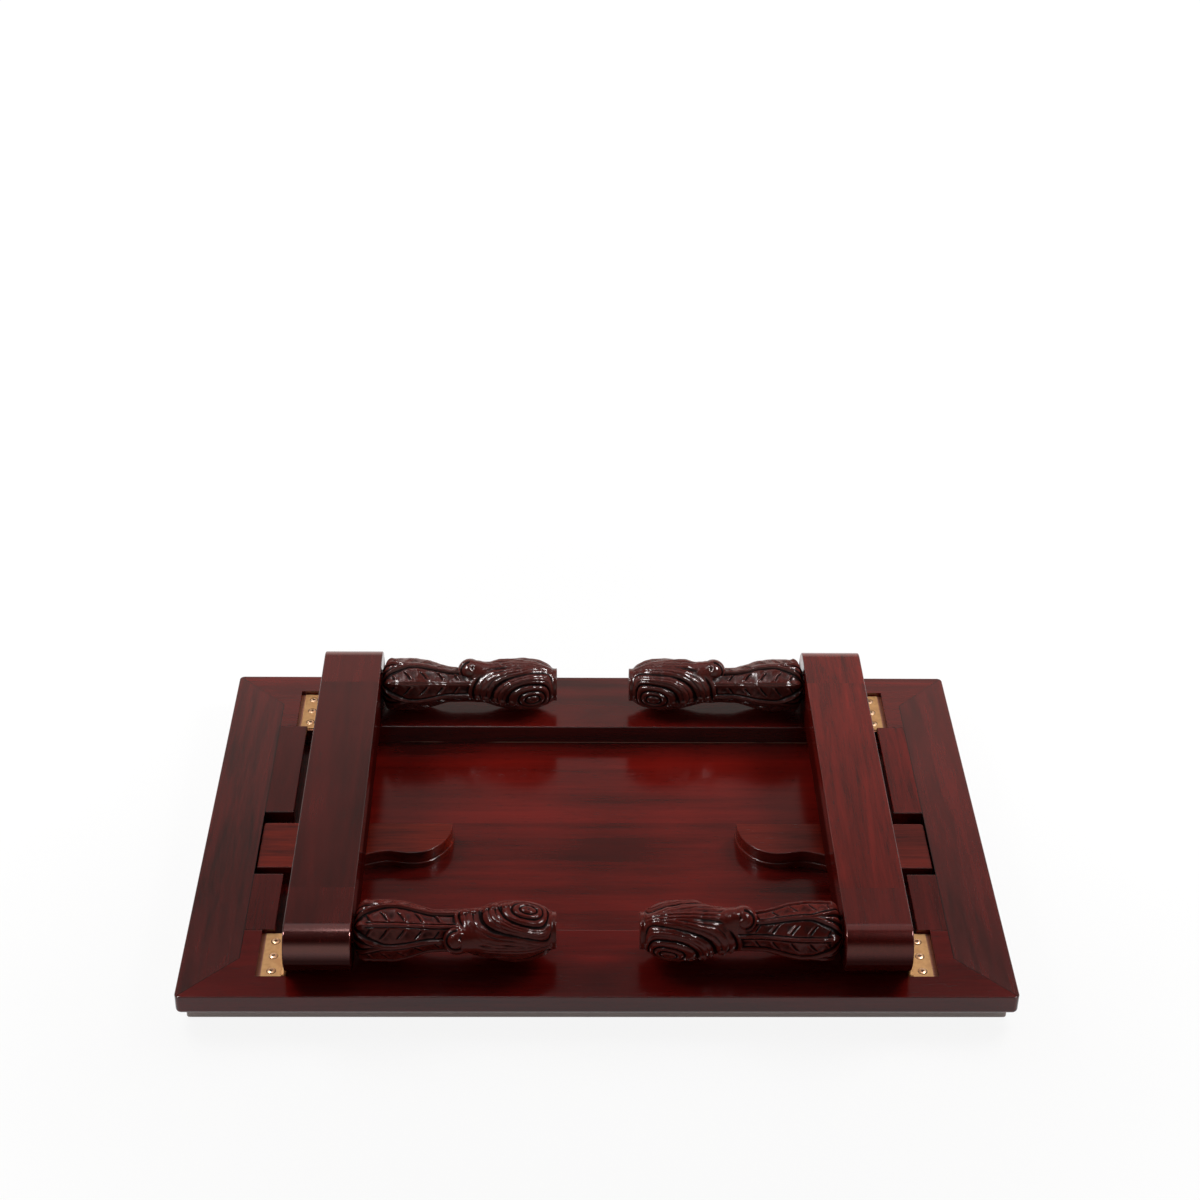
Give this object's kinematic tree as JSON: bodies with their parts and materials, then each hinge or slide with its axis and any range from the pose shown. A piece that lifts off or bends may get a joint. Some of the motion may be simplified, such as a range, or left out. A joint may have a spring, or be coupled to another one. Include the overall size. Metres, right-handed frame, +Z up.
{
  "type": "folding low table",
  "caption": "Low rectangular table whose carved legs, on hinged aprons, fold flat under a mitred frame, with a sliding wooden lock tongue at each end.",
  "frame": {"origin": "centre of the show face, on the surface that the folded table lies on", "axes": "+X along the table's length, +Y across it towards the back, +Z up, away from the show face"},
  "size_m": [0.9, 0.6, 0.1074],
  "materials": {
    "board_wood": "deep red stain under gloss lacquer",
    "frame_wood": "brown-red stain under gloss lacquer",
    "strip_wood": "brown-red stain under gloss lacquer",
    "apron_wood": "brown-red stain under gloss lacquer",
    "tongue_wood": "red stain under gloss lacquer",
    "carved_wood": "near-black brown stain, carved, high gloss",
    "hidden_wood": "bare wood",
    "hinge_brass": "plain brass",
    "screw_brass": "brass, worn",
    "guide_steel": "zinc plated"
  },
  "bodies": {
    "top": {"back_rail": "frame_wood", "fixed_leaf_screws": "screw_brass", "front_rail": "frame_wood", "guide_screws": "guide_steel", "guide_washers": "guide_steel", "left_back_fixed_leaf": "hinge_brass", "left_back_hinge_pin": "hinge_brass", "left_back_strip": "strip_wood", "left_front_fixed_leaf": "hinge_brass", "left_front_hinge_pin": "hinge_brass", "left_front_strip": "strip_wood", "left_rail": "frame_wood", "mitre_splines": "hidden_wood", "right_back_fixed_leaf": "hinge_brass", "right_back_hinge_pin": "hinge_brass", "right_back_strip": "strip_wood", "right_front_fixed_leaf": "hinge_brass", "right_front_hinge_pin": "hinge_brass", "right_front_strip": "strip_wood", "right_rail": "frame_wood", "top_board": "board_wood"},
    "left_legs": {"left_apron_rail": "apron_wood", "left_back_block": "apron_wood", "left_back_leg": "carved_wood", "left_back_moving_leaf": "hinge_brass", "left_front_block": "apron_wood", "left_front_leg": "carved_wood", "left_front_moving_leaf": "hinge_brass", "left_leaf_screws": "screw_brass", "left_loose_tenons": "hidden_wood"},
    "right_legs": {"right_apron_rail": "apron_wood", "right_back_block": "apron_wood", "right_back_leg": "carved_wood", "right_back_moving_leaf": "hinge_brass", "right_front_block": "apron_wood", "right_front_leg": "carved_wood", "right_front_moving_leaf": "hinge_brass", "right_leaf_screws": "screw_brass", "right_loose_tenons": "hidden_wood"},
    "left_lock": {"left_lock_tongue": "tongue_wood"},
    "right_lock": {"right_lock_tongue": "tongue_wood"}
  },
  "joints": [
    {"name": "left_leg_fold", "type": "hinge", "parent": "top", "child": "left_legs", "pos_m": [-0.338, 0, 0.0353], "axis": [0, -1, 0], "range_deg": [0, 90]},
    {"name": "right_leg_fold", "type": "hinge", "parent": "top", "child": "right_legs", "pos_m": [0.338, 0, 0.0353], "axis": [0, 1, 0], "range_deg": [0, 90]},
    {"name": "left_lock_slide", "type": "slide", "parent": "top", "child": "left_lock", "axis": [1, 0, 0], "range_m": [0, 0.04]},
    {"name": "right_lock_slide", "type": "slide", "parent": "top", "child": "right_lock", "axis": [-1, 0, 0], "range_m": [0, 0.04]}
  ]
}
